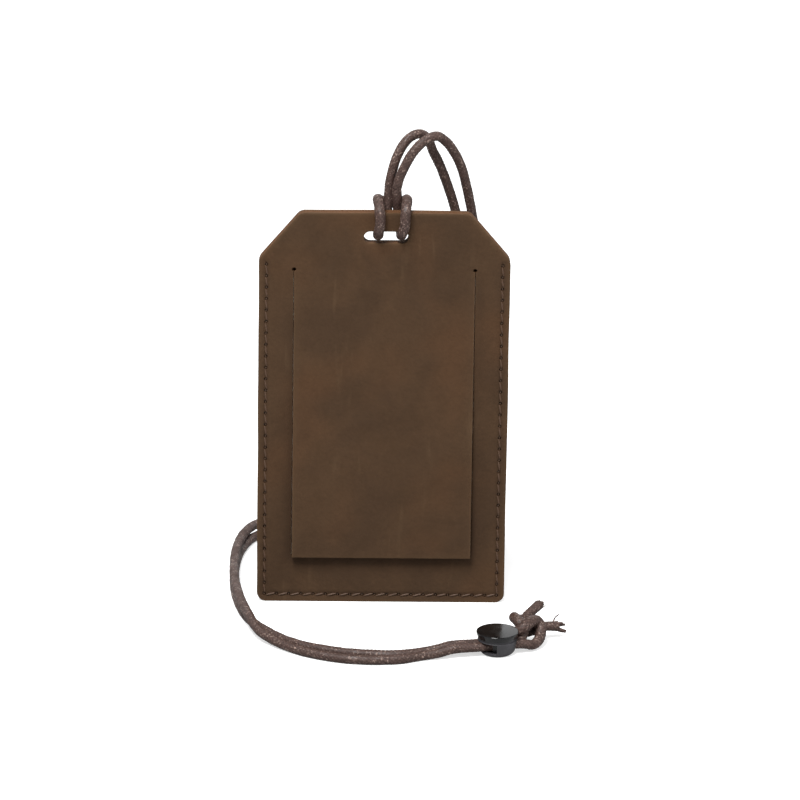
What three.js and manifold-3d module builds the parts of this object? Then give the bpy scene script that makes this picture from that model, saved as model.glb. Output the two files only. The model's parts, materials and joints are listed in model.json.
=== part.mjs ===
// A leather luggage tag that stands on its bottom edge: two stitched panels, a privacy flap
// cut in the front panel, an address card between them, and a waxed cord, doubled and
// hitched through the slot, that carries a cord lock and ends in a knot with two tails.
// Millimetres, X to the right, the front faces -Y, +Z up.

import * as THREE from 'three';
import { mergeVertices } from 'three/addons/utils/BufferGeometryUtils.js';
import Module from 'manifold-3d';

// Tag outline
const tagWidth = 73;
const tagHeight = 120;
const chamferWidth = 12;
const chamferHeight = 14.2;
const chamferRadius = 1.3;
const footRadius = 2.8;

// Leather and the pocket between the panels
const leatherThickness = 1.7;
const panelGap = 0.1;
const pocketDepth = 0.25;
const pocketHalfWidth = 32.6;
const pocketFloor = 4;
const pocketTop = 109;

// Slot for the cord
const slotHalfLength = 6.5;
const slotHalfHeight = 1.8;
const slotHeightOnTag = 112.7;
const slotOffset = 0.3;

// Privacy flap and the window it is cut from
const hingeHeight = 102.8;
const flapHalfWidth = 26.3;
const flapLength = 88.4;
const flapLift = 2;
const flapCornerRelief = 0.6;
const kerf = 0.4;
const hingeGap = 0.3;
const stopHoleRadius = 0.55;

// Address card
const cardWidth = 64;
const cardHeight = 96;
const cardThickness = 0.3;
const cardFoot = 4.3;

// Seam
const seamInset = 2.2;
const seamTop = 104.3;
const sideStitches = 29;
const footStitches = 19;
const needleHole = 0.8;
const threadWidth = 0.5;
const threadProud = 0.15;

// Cord
const cordRadius = 1.3;
const cordSides = 8;
const cordGap = 0.3;
const strandOffset = 1.4;

// Cord lock
const lockX = 33.3;
const lockY = -42.5;
const lockHeading = 13;
const tunnelHeight = 2.7;
const barrelRim = 5.1;
const springSeat = 4.6;
const buttonUnderside = 5.9;
const buttonTop = 6.8;
const stemRadius = 3.6;
const stemFoot = 0.75;
const lockSides = 40;
const springWire = 0.15;
const springRadius = 4.25;
const springTurns = 2;

// Knot
const knotCentre = new THREE.Vector3(42.8, -35.4, 4.4);
const knotRadii = new THREE.Vector3(4.9, 6.2, 4.4);

const outerFace = leatherThickness + panelGap / 2;
const innerFace = panelGap / 2;
const flapThickness = leatherThickness - pocketDepth;
const flapAngle = Math.asin(flapLift / flapLength);
const depthCentre = (threadProud - flapLift) / 2;

const wasm = await Module();
wasm.setup();

const leather = new THREE.MeshStandardMaterial({ color: 0x57432f, roughness: 0.8, metalness: 0 });
const card = new THREE.MeshStandardMaterial({ color: 0xe8e4da, roughness: 0.85, metalness: 0 });
const thread = new THREE.MeshStandardMaterial({ color: 0x4a2f22, roughness: 0.7, metalness: 0 });
const waxedCord = new THREE.MeshStandardMaterial({ color: 0x54423d, roughness: 0.6, metalness: 0 });
const blackPlastic = new THREE.MeshStandardMaterial({ color: 0x0c0c0e, roughness: 0.2, metalness: 0 });
const springSteel = new THREE.MeshStandardMaterial({ color: 0xb4b4b2, roughness: 0.3, metalness: 1 });

const tag = new THREE.Group();
tag.position.y = -depthCentre;

function place(name, geometry, material, parent = tag) {
  const mesh = new THREE.Mesh(geometry, material);
  mesh.name = name;
  parent.add(mesh);
  return mesh;
}

// Solids for cutting and joining

function toSolid(geometry) {
  const plain = geometry.clone();
  plain.deleteAttribute('normal');
  plain.deleteAttribute('uv');
  const merged = mergeVertices(plain, 1e-4);
  const solid = new wasm.Mesh({
    numProp: 3,
    vertProperties: new Float32Array(merged.attributes.position.array),
    triVerts: new Uint32Array(merged.index.array),
  });
  return new wasm.Manifold(solid);
}

function toGeometry(solid) {
  const mesh = solid.getMesh();
  const geometry = new THREE.BufferGeometry();
  geometry.setAttribute('position', new THREE.BufferAttribute(mesh.vertProperties, 3));
  geometry.setIndex(new THREE.BufferAttribute(mesh.triVerts, 1));
  return geometry;
}

function cut(geometry, tools) {
  const solid = tools.reduce((left, tool) => left.subtract(toSolid(tool)), toSolid(geometry));
  return toGeometry(solid);
}

function join(geometries) {
  return toGeometry(geometries.map(toSolid).reduce((whole, piece) => whole.add(piece)));
}

function boxBetween(low, high) {
  const box = new THREE.BoxGeometry(high[0] - low[0], high[1] - low[1], high[2] - low[2]);
  box.translate((low[0] + high[0]) / 2, (low[1] + high[1]) / 2, (low[2] + high[2]) / 2);
  return box;
}

// A flat piece drawn in X and Z, lying between two depths in Y

function plate(shape, frontY, backY) {
  const geometry = new THREE.ExtrudeGeometry(shape, {
    depth: backY - frontY,
    bevelEnabled: false,
    curveSegments: 5,
  });
  geometry.rotateX(Math.PI / 2);
  geometry.translate(0, backY, 0);
  return geometry;
}

// A closed outline whose corners are rounded, each by its own radius

function roundedShape(corners) {
  const shape = new THREE.Shape();
  corners.forEach(([x, z, radius], index) => {
    const corner = new THREE.Vector2(x, z);
    const before = new THREE.Vector2(...corners.at(index - 1));
    const after = new THREE.Vector2(...corners[(index + 1) % corners.length]);
    const start = corner.clone().add(before.sub(corner).setLength(radius));
    const end = corner.clone().add(after.sub(corner).setLength(radius));
    if (index === 0) shape.moveTo(start.x, start.y);
    else shape.lineTo(start.x, start.y);
    shape.quadraticCurveTo(x, z, end.x, end.y);
  });
  shape.closePath();
  return shape;
}

function slotPath() {
  const centre = slotHalfLength - slotHalfHeight;
  const path = new THREE.Path();
  path.absarc(slotOffset + centre, slotHeightOnTag, slotHalfHeight, -Math.PI / 2, Math.PI / 2, false);
  path.absarc(slotOffset - centre, slotHeightOnTag, slotHalfHeight, Math.PI / 2, Math.PI * 1.5, false);
  path.closePath();
  return path;
}

// The window follows the flap with a kerf on three sides, and ends in two stop holes

function windowPath() {
  const halfWidth = flapHalfWidth + kerf;
  const foot = hingeHeight - flapLength - kerf;
  const top = hingeHeight + hingeGap;
  const path = new THREE.Path();
  path.moveTo(-halfWidth, foot);
  path.lineTo(halfWidth, foot);
  path.absarc(flapHalfWidth, hingeHeight, stopHoleRadius, -0.75, Math.PI * 0.8, false);
  path.lineTo(flapHalfWidth - stopHoleRadius, top);
  path.lineTo(stopHoleRadius - flapHalfWidth, top);
  path.absarc(-flapHalfWidth, hingeHeight, stopHoleRadius, Math.PI * 0.2, Math.PI + 0.75, false);
  path.closePath();
  return path;
}

// Needle holes run down the left side, along the foot and up the right side

function seamPoints() {
  const half = tagWidth / 2 - seamInset;
  const sidePitch = (seamTop - seamInset) / sideStitches;
  const footPitch = (2 * half) / footStitches;
  const points = [];
  for (let i = 0; i < sideStitches; i += 1) points.push([-half, seamTop - i * sidePitch]);
  for (let i = 0; i < footStitches; i += 1) points.push([-half + i * footPitch, seamInset]);
  for (let i = 0; i <= sideStitches; i += 1) points.push([half, seamInset + i * sidePitch]);
  return points;
}

const seam = seamPoints();

function needleTools() {
  const half = needleHole / 2;
  const reach = outerFace + 1;
  return seam.map(([x, z]) => boxBetween([x - half, -reach, z - half], [x + half, reach, z + half]));
}

function panelShape(extraHoles) {
  const half = tagWidth / 2;
  const shoulder = tagHeight - chamferHeight;
  const shape = roundedShape([
    [-half, 0, footRadius],
    [half, 0, footRadius],
    [half, shoulder, chamferRadius],
    [half - chamferWidth, tagHeight, chamferRadius],
    [chamferWidth - half, tagHeight, chamferRadius],
    [-half, shoulder, chamferRadius],
  ]);
  shape.holes.push(slotPath(), ...extraHoles);
  return shape;
}

// Each panel is skived thinner inside, where the card lies

function pocketTool(frontY, backY) {
  return boxBetween([-pocketHalfWidth, frontY, pocketFloor], [pocketHalfWidth, backY, pocketTop]);
}

function backPanel() {
  const sheet = plate(panelShape([]), innerFace, outerFace);
  return cut(sheet, [pocketTool(0, innerFace + pocketDepth), ...needleTools()]);
}

function frontPanel() {
  const sheet = plate(panelShape([windowPath()]), -outerFace, -innerFace);
  return cut(sheet, [pocketTool(-innerFace - pocketDepth, 0), ...needleTools()]);
}

// The flap hangs from the front surface at the hinge line, and its foot stands a little proud

function privacyFlap() {
  const shape = new THREE.Shape();
  shape.moveTo(-flapHalfWidth, -flapLength);
  shape.lineTo(flapHalfWidth, -flapLength);
  shape.lineTo(flapHalfWidth, -flapCornerRelief);
  shape.lineTo(flapHalfWidth - flapCornerRelief, 0);
  shape.lineTo(flapCornerRelief - flapHalfWidth, 0);
  shape.lineTo(-flapHalfWidth, -flapCornerRelief);
  shape.closePath();
  return plate(shape, 0, flapThickness);
}

// One thread runs in and out of the needle holes, a stitch in front and then one behind

function seamThread() {
  const half = threadWidth / 2;
  const pin = half - 0.05;
  const crest = outerFace + threadProud;
  const pinReach = crest - 0.05;
  const pieces = seam.map(([x, z]) => boxBetween([x - pin, -pinReach, z - pin], [x + pin, pinReach, z + pin]));
  for (let i = 0; i + 1 < seam.length; i += 1) {
    const [x0, z0] = seam[i];
    const [x1, z1] = seam[i + 1];
    const [nearY, farY] = i % 2 === 0 ? [-crest, -outerFace - 0.02] : [outerFace + 0.02, crest];
    pieces.push(boxBetween(
      [Math.min(x0, x1) - half, nearY, Math.min(z0, z1) - half],
      [Math.max(x0, x1) + half, farY, Math.max(z0, z1) + half],
    ));
  }
  return join(pieces);
}

// A cord's tube takes its steps at the route's own points, which are closer in the bends

class Route extends THREE.CatmullRomCurve3 {
  getUtoTmapping(u) {
    return u;
  }
}

function tube(route, radius, sides, steps = route.points.length - 1) {
  const section = new THREE.Shape();
  for (let i = 0; i < sides; i += 1) {
    const angle = (i * 2 * Math.PI) / sides;
    const point = [radius * Math.cos(angle), radius * Math.sin(angle)];
    if (i === 0) section.moveTo(...point);
    else section.lineTo(...point);
  }
  section.closePath();
  return new THREE.ExtrudeGeometry(section, { steps, bevelEnabled: false, extrudePath: route });
}

function routeOf(points) {
  return new Route(points.map((point) => new THREE.Vector3(...point)));
}

// Through the lock both strands run straight, side by side; distance is along the heading

const heading = THREE.MathUtils.degToRad(lockHeading);

function inLock(distance, side, height) {
  return [
    lockX + distance * Math.cos(heading) - side * strandOffset * Math.sin(heading),
    lockY + distance * Math.sin(heading) + side * strandOffset * Math.cos(heading),
    height,
  ];
}

// Inner strand: behind in the arch, and the lower one where the two lie on each other
const innerStrand = [
  [1.1, 4.2, 126.6], [1.6, 4.2, 129.8], [2.9, 4.6, 134.5], [4.7, 5.7, 138.1], [7.0, 6.9, 140.5],
  [9.6, 8.2, 141.2], [12.0, 9.8, 139.4], [13.8, 11.1, 135.0], [15.6, 11.9, 131.2], [18.1, 13.0, 124.6],
  [20.6, 14.0, 116.5], [22.7, 15.8, 106], [24.6, 18.4, 92.5], [25.8, 21.2, 77], [26.2, 24.6, 61],
  [25.8, 28.8, 45], [24.6, 34, 29.5], [22.0, 41, 15.2], [17.8, 48.4, 5.8], [12.2, 54.4, 2],
  [4.5, 59.2, 1.3], [-6, 61.8, 1.3], [-18, 61, 1.3], [-29, 56.6, 1.3], [-37.2, 49.8, 1.3],
  [-41.2, 39, 1.3], [-43, 25, 1.3], [-43.2, 10, 1.3], [-42, -5, 1.3], [-38.8, -19.5, 1.3],
  [-33, -30.7, 1.3], [-24.6, -40.2, 1.3], [-13.6, -45.8, 1.3], [-4, -48, 1.3], [4.8, -48.2, 1.3],
  inLock(-22.5, 1, 1.35), inLock(-18, 1, 1.8), inLock(-13.5, 1, tunnelHeight),
  inLock(-7, 1, tunnelHeight), inLock(4, 1, tunnelHeight), inLock(6.8, 1, tunnelHeight),
];

// Outer strand: in front in the arch, and the upper one where the two lie on each other
const outerStrand = [
  [3.2, 2.2, 126.6], [4.0, 2.0, 129.6], [6.0, 2.1, 134.2], [8.2, 2.8, 137.6], [11.2, 4.1, 140.3],
  [14.7, 5.6, 141.3], [17.7, 7.4, 138.8], [20.0, 8.8, 135.3], [22.3, 10.6, 129.8], [24.0, 12.0, 123.1],
  [25.4, 13.4, 116], [27.2, 15.8, 105.4], [28.9, 18.8, 92], [30.1, 22.2, 76.5], [30.6, 26.2, 60.5],
  [30.3, 31, 44.5], [29.0, 36.8, 29], [26.2, 44.2, 15], [21.6, 52.2, 5.8], [15.2, 59, 2],
  [6.4, 64, 1.3], [-5, 67, 1.3], [-17.5, 66.6, 1.3], [-28.6, 62.8, 1.6], [-35.4, 57.6, 2.95],
  [-40.1, 46.4, 4.15], [-42.6, 33, 4.1], [-43.3, 18, 4.1], [-42.9, 3, 4.1], [-41.2, -11, 4.1],
  [-38.8, -23.7, 4.1], [-35.1, -34.1, 2.6], [-26.6, -43.2, 1.4], [-15.6, -50, 1.3], [-4.6, -52.6, 1.3], [4.8, -51.8, 1.3],
  inLock(-22.5, -1, 1.35), inLock(-18, -1, 1.8), inLock(-13.5, -1, tunnelHeight),
  inLock(-7, -1, tunnelHeight), inLock(6.8, -1, tunnelHeight), [42.9, -41.5, 2.1],
];

// Hitch: down behind the strip, out through the slot, up and over the top edge, across behind
// both free strands, and back the same way
const hitch = [
  [1.1, 4.2, 126.2], [0.9, 3.9, 122.5], [0.3, 3.5, 118.6], [-0.9, 3.5, 115.8], [-1.7, 2.8, 113.8],
  [-2.0, 1.2, 113], [-2.0, -1.2, 113], [-1.9, -2.8, 113.8], [-1.6, -3.45, 115.6], [-1.5, -3.4, 119],
  [-1.7, -2.9, 121.4], [-1.8, -1.5, 122.8], [-2.0, 0.4, 123.2], [-2.1, 2.8, 122.9], [-2.0, 5.2, 122.1],
  [-0.2, 7.0, 121], [2.2, 7.2, 120.7], [4.4, 6.7, 121], [5.9, 5.0, 122], [6.2, 2.6, 122.9],
  [6.2, 0.4, 123.2], [6.0, -1.5, 122.8], [5.9, -2.9, 121.4], [5.7, -3.4, 119], [5.6, -3.45, 115.6],
  [5.0, -2.8, 113.8], [4.7, -1.2, 113], [4.7, 1.2, 113], [4.5, 2.8, 113.8], [4.2, 3.5, 115.8],
  [3.7, 3.4, 118.6], [3.4, 2.7, 122.5], [3.2, 2.2, 126.2],
];

const tailA = [[41.6, -30.2, 5.3], [43.5, -27, 6.7], [46, -24.2, 8]];
const tailB = [[46.1, -31.8, 3.9], [48.8, -30.8, 3.8], [52.4, -29.4, 3.3]];

// The knot is one rounded lump, with a socket round each cord end that goes into it

function knotLump() {
  const lump = new THREE.SphereGeometry(1, 20, 12);
  lump.scale(knotRadii.x, knotRadii.y, knotRadii.z);
  lump.translate(knotCentre.x, knotCentre.y, knotCentre.z);
  return lump;
}

function socket(from, to) {
  const start = new THREE.Vector3(...from);
  const end = new THREE.Vector3(...to);
  const direction = end.clone().sub(start).normalize();
  const line = new THREE.LineCurve3(
    start.addScaledVector(direction, -2),
    end.addScaledVector(direction, cordGap),
  );
  line.points = [0, 0];
  return tube(line, cordRadius + cordGap, cordSides, 1);
}

function knot() {
  return cut(knotLump(), [
    socket(innerStrand.at(-2), innerStrand.at(-1)),
    socket(outerStrand.at(-2), outerStrand.at(-1)),
    socket(tailA[1], tailA[0]),
    socket(tailB[1], tailB[0]),
  ]);
}

// Lock, drawn about its own axis

function turned(profile) {
  const geometry = new THREE.LatheGeometry(profile.map(([r, z]) => new THREE.Vector2(r, z)), lockSides);
  geometry.rotateX(Math.PI / 2);
  return geometry;
}

// The barrel's tunnel opens out to a wide mouth at each end
function tunnelTool() {
  const shape = new THREE.Shape([
    [-7, -6], [-3, -2.95], [3, -2.95], [7, -6], [7, 6], [3, 2.95], [-3, 2.95], [-7, 6],
  ].map(([x, y]) => new THREE.Vector2(x, y)));
  const height = 2 * cordRadius + 0.5;
  const geometry = new THREE.ExtrudeGeometry(shape, { depth: height, bevelEnabled: false });
  geometry.translate(0, 0, tunnelHeight - height / 2);
  return geometry;
}

function lockBarrel() {
  const body = turned([
    [4.5, 0], [4.95, 0.35], [5.3, 1.1], [5.6, 2.6], [5.7, 4.2], [5.7, barrelRim],
    [4.75, barrelRim], [4.75, springSeat], [3.8, springSeat], [3.8, 0], [4.5, 0],
  ]);
  return cut(body, [tunnelTool()]);
}

function lockButton() {
  const body = turned([
    [0, stemFoot], [stemRadius, stemFoot], [stemRadius, buttonUnderside], [5.6, buttonUnderside],
    [6.1, 6.25], [6.1, 6.6], [5.9, buttonTop], [0, buttonTop],
  ]);
  return cut(body, [boxBetween([-5, -2.9, 1.1], [5, 2.9, 5.1])]);
}

class Helix extends THREE.Curve {
  getPoint(t, target = new THREE.Vector3()) {
    const angle = t * springTurns * 2 * Math.PI;
    const foot = springSeat + springWire + 0.1;
    const rise = buttonUnderside - springWire - 0.1 - foot;
    return target.set(springRadius * Math.cos(angle), springRadius * Math.sin(angle), foot + rise * t);
  }
}

const lock = new THREE.Group();
lock.position.set(lockX, lockY, 0);
lock.rotation.z = heading;
tag.add(lock);

place('back_panel', backPanel(), leather);
place('front_panel', frontPanel(), leather);
const flap = place('privacy_flap', privacyFlap(), leather);
flap.position.set(0, -outerFace, hingeHeight);
flap.rotation.x = -flapAngle;
place('address_card', boxBetween(
  [-cardWidth / 2, -cardThickness / 2, cardFoot],
  [cardWidth / 2, cardThickness / 2, cardFoot + cardHeight],
), card);
place('seam_thread', seamThread(), thread);
place('cord_strand_inner', tube(routeOf(innerStrand), cordRadius, cordSides), waxedCord);
place('cord_strand_outer', tube(routeOf(outerStrand), cordRadius, cordSides), waxedCord);
place('cord_hitch', tube(routeOf(hitch), cordRadius, cordSides), waxedCord);
place('cord_knot', knot(), waxedCord);
place('cord_tail_a', tube(routeOf(tailA), cordRadius, cordSides), waxedCord);
place('cord_tail_b', tube(routeOf(tailB), cordRadius, cordSides), waxedCord);
place('lock_barrel', lockBarrel(), blackPlastic, lock);
place('lock_button', lockButton(), blackPlastic, lock);
place('lock_spring', new THREE.ExtrudeGeometry(
  new THREE.Shape([[1, 0], [0, 1], [-1, 0], [0, -1]].map(
    ([x, y]) => new THREE.Vector2(x * springWire, y * springWire),
  )),
  { steps: 48, bevelEnabled: false, extrudePath: new Helix() },
), springSteel, lock);

export default tag;
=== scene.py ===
import json
import math

import bmesh
import bpy
import numpy as np
from mathutils import Matrix, Vector, noise


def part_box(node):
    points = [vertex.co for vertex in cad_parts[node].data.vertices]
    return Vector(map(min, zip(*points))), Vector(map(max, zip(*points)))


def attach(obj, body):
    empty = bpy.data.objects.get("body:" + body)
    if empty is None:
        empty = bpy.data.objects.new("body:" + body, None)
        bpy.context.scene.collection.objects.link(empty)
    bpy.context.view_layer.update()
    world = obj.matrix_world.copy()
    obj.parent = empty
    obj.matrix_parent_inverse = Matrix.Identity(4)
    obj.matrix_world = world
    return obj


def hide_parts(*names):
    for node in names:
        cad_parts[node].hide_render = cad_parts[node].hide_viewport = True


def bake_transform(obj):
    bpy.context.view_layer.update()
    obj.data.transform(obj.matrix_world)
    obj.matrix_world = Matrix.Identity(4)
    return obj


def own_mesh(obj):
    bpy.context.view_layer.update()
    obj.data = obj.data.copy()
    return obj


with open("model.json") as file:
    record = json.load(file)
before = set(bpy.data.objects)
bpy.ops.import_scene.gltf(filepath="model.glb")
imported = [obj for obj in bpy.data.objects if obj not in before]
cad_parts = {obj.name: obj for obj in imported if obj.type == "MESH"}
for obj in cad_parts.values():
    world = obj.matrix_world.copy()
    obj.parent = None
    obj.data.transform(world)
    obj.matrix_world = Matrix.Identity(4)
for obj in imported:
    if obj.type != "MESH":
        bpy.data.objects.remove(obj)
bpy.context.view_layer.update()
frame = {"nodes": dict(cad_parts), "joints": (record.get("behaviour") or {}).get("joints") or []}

mm = 0.001
rad = math.radians


# what the frame gives: the leather's faces, the hinge and the lock's place
frontLow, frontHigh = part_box("front_panel")
barrelLow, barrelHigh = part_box("lock_barrel")
cardLow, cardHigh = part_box("address_card")
joints = {joint["name"]: joint for joint in frame["joints"]}
frontFace = frontLow.y
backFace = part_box("back_panel")[1].y
midY = (frontFace + backFace) / 2
hingeZ = joints["flap_hinge"]["pos_m"][2]
lockX = (barrelLow.x + barrelHigh.x) / 2
lockY = (barrelLow.y + barrelHigh.y) / 2
lockAxis = Vector(joints["lock_slide"]["axis"]) * -1
print("frame read:", len(frame["nodes"]), "nodes")


# camera, floor and light

camera = {"elevation": 19, "azimuth": -0.98, "roll": 0.78, "distance": 1837.5 * mm, "lens": 282.6,
          "aimRight": 5.04 * mm, "aimUp": 2.27 * mm}
studio = {"front": 0.23, "back": 1.0, "bounce": 0.42, "seen": 0.72, "glow": 0.6, "floor": 6,
          "key": {"place": (-0.3, -0.68, 1.35), "size": 0.6, "power": 28},
          "fill": {"place": (0.9, -0.5, 0.7), "size": 0.7, "power": 4}, "aim": (0, 0, 0.06)}


def makeCamera():
    azimuth, elevation, roll = rad(camera["azimuth"]), rad(camera["elevation"]), rad(camera["roll"])
    back = Vector((math.sin(azimuth) * math.cos(elevation), -math.cos(azimuth) * math.cos(elevation),
                   math.sin(elevation)))
    right = (-back).cross(Vector((0, 0, 1))).normalized()
    up = right.cross(-back)
    target = Vector((0, midY, frontHigh.z / 2))
    place = target + back * camera["distance"]
    flatRight = right * math.cos(roll) + up * math.sin(roll)
    flatUp = up * math.cos(roll) - right * math.sin(roll)
    aim = target + flatRight * camera["aimRight"] + flatUp * camera["aimUp"]
    look = (place - aim).normalized()
    sideways = flatUp.cross(look).normalized()
    upright = look.cross(sideways)
    data = bpy.data.cameras.new("camera")
    data.lens = camera["lens"]
    data.sensor_width = 36
    data.clip_start, data.clip_end = 0.05, 20
    holder = bpy.data.objects.new("camera", data)
    turn = Matrix((sideways, upright, look)).transposed()
    holder.matrix_world = Matrix.Translation(place) @ turn.to_4x4()
    bpy.context.scene.collection.objects.link(holder)
    bpy.context.scene.camera = holder


def areaLight(name, settings):
    data = bpy.data.lights.new(name, "AREA")
    data.size = settings["size"]
    data.energy = settings["power"]
    lamp = bpy.data.objects.new(name, data)
    lamp.location = settings["place"]
    lamp.rotation_mode = "QUATERNION"
    lamp.rotation_quaternion = (Vector(studio["aim"]) - lamp.location).to_track_quat("-Z", "Y")
    bpy.context.scene.collection.objects.link(lamp)


def makeStudio():
    bpy.context.scene.view_settings.view_transform = "Standard"
    world = bpy.data.worlds.new("studio")
    world.use_nodes = True
    tree = world.node_tree
    parts = tree.nodes.new("ShaderNodeSeparateXYZ")
    join(tree, tree.nodes.new("ShaderNodeTexCoord").outputs["Generated"], parts.inputs[0])
    strength = ramp(tree, parts.outputs["Y"], 0.1, 0.8, studio["front"], studio["back"])
    tree.nodes["Background"].inputs["Color"].default_value = (1, 1, 1, 1)
    join(tree, strength, tree.nodes["Background"].inputs["Strength"])
    bpy.context.scene.world = world
    bm = bmesh.new()
    bmesh.ops.create_grid(bm, x_segments=1, y_segments=1, size=studio["floor"])
    newPiece("floor", bm, floorPaint())
    areaLight("keyLight", studio["key"])
    areaLight("fillLight", studio["fill"])


def floorPaint():
    # a white sweep that throws little light back up on the object
    paint = bpy.data.materials.new("floorPaint")
    paint.use_nodes = True
    tree = paint.node_tree
    output = tree.nodes["Material Output"]
    tree.nodes.remove(tree.nodes["Principled BSDF"])
    seen, dull = tree.nodes.new("ShaderNodeBsdfDiffuse"), tree.nodes.new("ShaderNodeBsdfDiffuse")
    for shader, grey in ((seen, studio["seen"]), (dull, studio["bounce"])):
        shader.inputs["Color"].default_value = (grey, grey, grey, 1)
    glow = tree.nodes.new("ShaderNodeEmission")
    glow.inputs["Strength"].default_value = studio["glow"]
    bright, either = tree.nodes.new("ShaderNodeAddShader"), tree.nodes.new("ShaderNodeMixShader")
    join(tree, seen.outputs[0], bright.inputs[0])
    join(tree, glow.outputs[0], bright.inputs[1])
    join(tree, tree.nodes.new("ShaderNodeLightPath").outputs["Is Camera Ray"], either.inputs[0])
    join(tree, dull.outputs[0], either.inputs[1])
    join(tree, bright.outputs[0], either.inputs[2])
    join(tree, either.outputs[0], output.inputs["Surface"])
    return paint


# small helpers for meshes

def newPiece(name, bm, material=None):
    mesh = bpy.data.meshes.new(name)
    bm.to_mesh(mesh)
    bm.free()
    piece = bpy.data.objects.new(name, mesh)
    if material:
        mesh.materials.append(material)
    bpy.context.scene.collection.objects.link(piece)
    return piece


def smoothEdges(piece, angle=35):
    for face in piece.data.polygons:
        face.use_smooth = True
    piece.data.set_sharp_from_angle(angle=rad(angle))


def settle(piece):  # applies the modifiers
    depsgraph = bpy.context.evaluated_depsgraph_get()
    mesh = bpy.data.meshes.new_from_object(piece.evaluated_get(depsgraph))
    piece.modifiers.clear()
    piece.data = mesh


def carve(piece, *cutters):
    for cutter in cutters:
        step = piece.modifiers.new("carve", "BOOLEAN")
        step.object = cutter
        step.operation = "DIFFERENCE"
        step.solver = "EXACT"
        settle(piece)
        bpy.data.objects.remove(cutter)


def points(piece):
    flat = np.empty(len(piece.data.vertices) * 3)
    piece.data.vertices.foreach_get("co", flat)
    return flat.reshape(-1, 3)


def movePoints(piece, places):
    piece.data.vertices.foreach_set("co", places.ravel())
    piece.data.update()


def setMask(piece, name, values):
    layer = piece.data.attributes.new(name, "FLOAT", "POINT")
    layer.data.foreach_set("value", np.asarray(values, np.float32))


# shader helpers

def addNode(tree, kind, **settings):
    node = tree.nodes.new(kind)
    for name, value in settings.items():
        if hasattr(node, name):
            setattr(node, name, value)
        else:
            node.inputs[name.replace("_", " ")].default_value = value
    return node


def join(tree, start, end):
    tree.links.new(start, end)


def objectPlace(tree):
    return tree.nodes.new("ShaderNodeTexCoord").outputs["Object"]


def maskFrom(tree, name):
    return addNode(tree, "ShaderNodeAttribute", attribute_name=name).outputs["Fac"]


def newGroup(name, inputs, outputs):
    tree = bpy.data.node_groups.new(name, "ShaderNodeTree")
    for socket, kind, value in inputs:
        made = tree.interface.new_socket(socket, in_out="INPUT", socket_type="NodeSocket" + kind)
        if value is not None:
            made.default_value = value
    for socket, kind in outputs:
        tree.interface.new_socket(socket, in_out="OUTPUT", socket_type="NodeSocket" + kind)
    return tree, tree.nodes.new("NodeGroupInput").outputs, tree.nodes.new("NodeGroupOutput").inputs


def maths(tree, operation, first, second=None, third=None, clamp=False):
    node = tree.nodes.new("ShaderNodeMath")
    node.operation = operation
    node.use_clamp = clamp
    for index, value in enumerate((first, second, third)):
        if value is None:
            continue
        if isinstance(value, (int, float)):
            node.inputs[index].default_value = value
        else:
            join(tree, value, node.inputs[index])
    return node.outputs[0]


def ramp(tree, value, low, high, to0=0.0, to1=1.0):
    node = tree.nodes.new("ShaderNodeMapRange")
    node.interpolation_type = "SMOOTHSTEP"
    join(tree, value, node.inputs["Value"])
    for socket, number in (("From Min", low), ("From Max", high), ("To Min", to0), ("To Max", to1)):
        node.inputs[socket].default_value = number
    return node.outputs["Result"]


def mixColour(tree, factor, first, second, blend="MIX"):
    node = tree.nodes.new("ShaderNodeMix")
    node.data_type = "RGBA"
    node.blend_type = blend
    for name, value in (("Factor", factor), ("A", first), ("B", second)):
        if isinstance(value, (int, float, tuple)):
            node.inputs[name].default_value = value
        else:
            join(tree, value, node.inputs[name])
    return node.outputs["Result"]


def noiseAt(tree, vector, scale, detail=4, roughness=0.5):
    node = addNode(tree, "ShaderNodeTexNoise", Scale=scale, Detail=detail, Roughness=roughness)
    join(tree, vector, node.inputs["Vector"])
    return node.outputs["Fac"]


def paintFrom(red, green, blue):  # a screen colour, 0 to 255, as the linear one that shaders take
    def linear(value):
        value = value / 255
        return value / 12.92 if value < 0.04045 else ((value + 0.055) / 1.055) ** 2.4
    return linear(red), linear(green), linear(blue), 1.0


def newMaterial(name, **sockets):
    material = bpy.data.materials.new(name)
    material.use_nodes = True
    shader = material.node_tree.nodes["Principled BSDF"]
    for socket, value in sockets.items():
        shader.inputs[socket.replace("_", " ")].default_value = value
    return material, material.node_tree, shader


def placeGroup(tree, group, **values):
    node = tree.nodes.new("ShaderNodeGroup")
    node.node_tree = group
    for name, value in values.items():
        node.inputs[name].default_value = value
    return node


def bumpInto(tree, shader, height, distance, strength=1.0):
    bump = tree.nodes.new("ShaderNodeBump")
    bump.inputs["Strength"].default_value = strength
    bump.inputs["Distance"].default_value = distance
    join(tree, height, bump.inputs["Height"])
    join(tree, bump.outputs["Normal"], shader.inputs["Normal"])


# fine fibre that leather, cord, thread and card all show, in Object coordinates

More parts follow.
